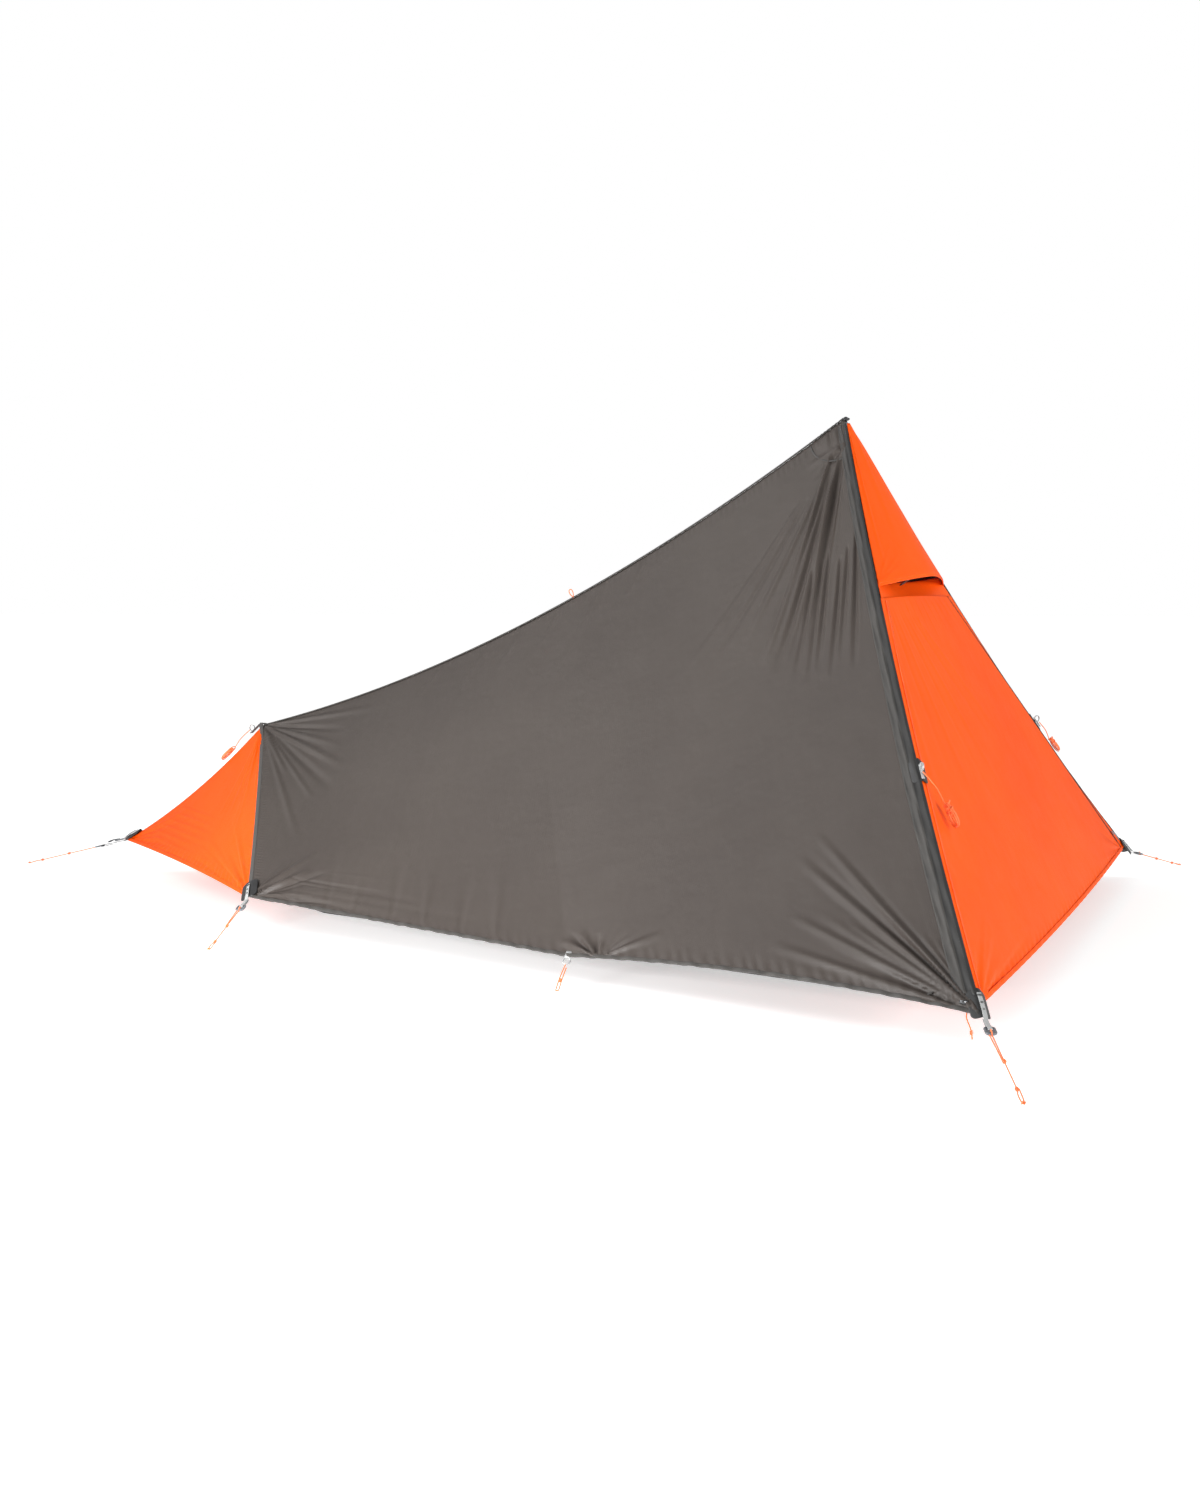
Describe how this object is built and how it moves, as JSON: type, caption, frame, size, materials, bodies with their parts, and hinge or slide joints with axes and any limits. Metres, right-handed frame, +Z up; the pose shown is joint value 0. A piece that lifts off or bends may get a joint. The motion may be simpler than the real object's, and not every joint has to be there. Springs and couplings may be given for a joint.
{
  "type": "one-person pole-supported tent",
  "caption": "Single-wall one-person tent pitched on a tall front pole and a short foot pole, with a zipped triangular door, hooded vent and staked corners on guy lines.",
  "frame": {"origin": "on the ground, in the middle of the tent's footprint without its guy lines", "axes": "+X along the ridge towards the door, +Y across towards the far side, +Z up"},
  "size_m": [3.2902, 2.5332, 1.268],
  "materials": {
    "grey_ripstop": "semi-gloss silicone-coated ripstop",
    "orange_ripstop": "semi-gloss silicone-coated ripstop",
    "charcoal_flap": "semi-gloss coated fabric",
    "charcoal_tape": "matte woven tape",
    "vent_netting": "fine black netting",
    "floor_fabric": "matte coated fabric",
    "black_patch": "laminated patch with a woven grain",
    "silver_webbing": "reflective woven webbing",
    "black_plastic": "moulded acetal",
    "black_rubber": "matte",
    "brushed_metal": "satin zinc",
    "anodised_aluminium": "anodised satin",
    "orange_cord": "braided cord"
  },
  "bodies": {
    "canopy": {"apex_cap": "black_plastic", "bathtub_floor": "floor_fabric", "far_door_band": "orange_ripstop", "far_foot_guy_cord": "orange_cord", "far_foot_line_lock": "black_plastic", "far_foot_panel": "orange_ripstop", "far_foot_patch": "black_patch", "far_foot_webbing": "silver_webbing", "far_front_guy_cord": "orange_cord", "far_front_line_lock": "black_plastic", "far_front_patch": "black_patch", "far_front_webbing": "silver_webbing", "far_hem_cord": "orange_cord", "far_hem_loop": "silver_webbing", "far_side_panel": "grey_ripstop", "far_storm_flap": "charcoal_flap", "far_tie_cord": "orange_cord", "far_tie_hank": "orange_cord", "far_tie_loop": "silver_webbing", "foot_pole": "anodised_aluminium", "foot_pole_foot": "black_rubber", "foot_seam_binding": "charcoal_tape", "foot_tie_cord": "orange_cord", "foot_tie_hank": "orange_cord", "foot_tie_loop": "silver_webbing", "foot_tip_guy_cord": "orange_cord", "foot_tip_line_lock": "black_plastic", "foot_tip_patch": "black_patch", "foot_tip_strap": "silver_webbing", "front_pole_foot": "black_rubber", "front_pole_lower": "anodised_aluminium", "front_pole_upper": "anodised_aluminium", "hem_pull_cord": "orange_cord", "hem_toggle": "black_plastic", "near_foot_guy_cord": "orange_cord", "near_foot_line_lock": "black_plastic", "near_foot_panel": "orange_ripstop", "near_foot_patch": "black_patch", "near_foot_webbing": "silver_webbing", "near_front_guy_cord": "orange_cord", "near_front_line_lock": "black_plastic", "near_front_patch": "black_patch", "near_front_webbing": "silver_webbing", "near_hem_cord": "orange_cord", "near_hem_loop": "silver_webbing", "near_side_panel": "grey_ripstop", "near_storm_flap": "charcoal_flap", "near_tie_loop": "silver_webbing", "ridge_binding": "charcoal_tape", "ridge_loop": "orange_cord", "vent_hood": "orange_ripstop", "vent_mesh": "vent_netting", "zip_chain": "black_plastic"},
    "door": {"door_panel": "orange_ripstop", "near_tie_hank": "orange_cord", "near_tie_cord": "orange_cord"},
    "zip_slider_body": {"zip_slider": "brushed_metal"},
    "zip_pull_body": {"zip_pull": "brushed_metal"},
    "hood_prop_body": {"hood_prop": "charcoal_tape"},
    "foot_ladder_body": {"foot_ladder_lock": "black_plastic"}
  },
  "joints": [
    {"name": "door_hinge", "type": "hinge", "parent": "canopy", "child": "door", "pos_m": [1.40805, -0.96671, 0.11739], "axis": [0.3505, -0.6249, -0.6976], "range_deg": [0, 75]},
    {"name": "zip_slide", "type": "slide", "parent": "canopy", "child": "zip_slider_body", "axis": [-0.3505, -0.6249, 0.6976], "range_m": [0, 0.93]},
    {"name": "zip_pull_hinge", "type": "hinge", "parent": "zip_slider_body", "child": "zip_pull_body", "pos_m": [1.40442, 0.90797, 0.14178], "axis": [0.2805, -0.7807, -0.5584], "range_deg": [0, 140]},
    {"name": "hood_prop_hinge", "type": "hinge", "parent": "canopy", "child": "hood_prop_body", "pos_m": [1.05387, -0.13396, 0.83099], "axis": [0.0857, -0.9866, 0.1388], "range_deg": [0, 45]},
    {"name": "foot_ladder_slide", "type": "slide", "parent": "canopy", "child": "foot_ladder_body", "axis": [-0.9715, 0, -0.237], "range_m": [-0.008, 0.048]}
  ]
}
